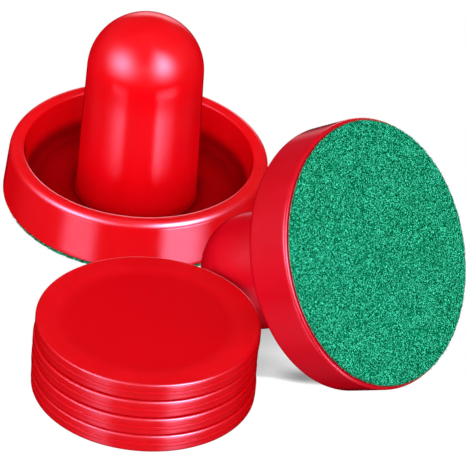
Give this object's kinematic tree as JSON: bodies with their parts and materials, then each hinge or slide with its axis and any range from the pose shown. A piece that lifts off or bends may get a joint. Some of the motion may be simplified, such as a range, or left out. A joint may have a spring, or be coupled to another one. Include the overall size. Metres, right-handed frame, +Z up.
{
  "type": "air hockey mallet and puck set",
  "caption": "Felt-faced air hockey mallets with domed handles and a stack of round sliding pucks, all in glossy red plastic.",
  "frame": {"origin": "centre of the standing mallet's felt face, where it touches the table; the table top is z = 0", "axes": "+Z up, along the standing mallet's handle; +Y runs from the stack of pucks back past the standing mallet; the lying mallet is on the +X side of the stack"},
  "size_m": [0.1765, 0.2131, 0.0937],
  "materials": {
    "red_plastic": "polished injection-moulded plastic, smooth with soft reflections",
    "green_felt": "dense needled felt, matte with short pale fibres",
    "adhesive_film": "double-sided adhesive film, milky"
  },
  "bodies": {
    "mallet_1": {"mallet_1_body": "red_plastic", "mallet_1_adhesive_film": "adhesive_film", "mallet_1_felt_pad": "green_felt"},
    "mallet_2": {"mallet_2_body": "red_plastic", "mallet_2_adhesive_film": "adhesive_film", "mallet_2_felt_pad": "green_felt"},
    "puck_1": {"puck_1": "red_plastic"},
    "puck_2": {"puck_2": "red_plastic"},
    "puck_3": {"puck_3": "red_plastic"},
    "puck_4": {"puck_4": "red_plastic"}
  },
  "joints": [
    {"name": "mallet_2_tip_up", "type": "hinge", "parent": "mallet_1", "child": "mallet_2", "pos_m": [0.11104, -0.10542, 0.0065], "axis": [0.5015, 0.8652, 0], "range_deg": [0, 120.85]},
    {"name": "puck_stack_glide", "type": "slide", "parent": "mallet_1", "child": "puck_1", "axis": [0, -1, 0], "range_m": [0, 0.05]},
    {"name": "puck_2_lift_off", "type": "slide", "parent": "puck_1", "child": "puck_2", "axis": [-0.3002, -0.2501, 0.9205], "range_m": [0, 0.035]},
    {"name": "puck_3_lift_off", "type": "slide", "parent": "puck_2", "child": "puck_3", "axis": [-0.3002, -0.2501, 0.9205], "range_m": [0, 0.035]},
    {"name": "puck_4_lift_off", "type": "slide", "parent": "puck_3", "child": "puck_4", "axis": [-0.3002, -0.2501, 0.9205], "range_m": [0, 0.035]}
  ]
}
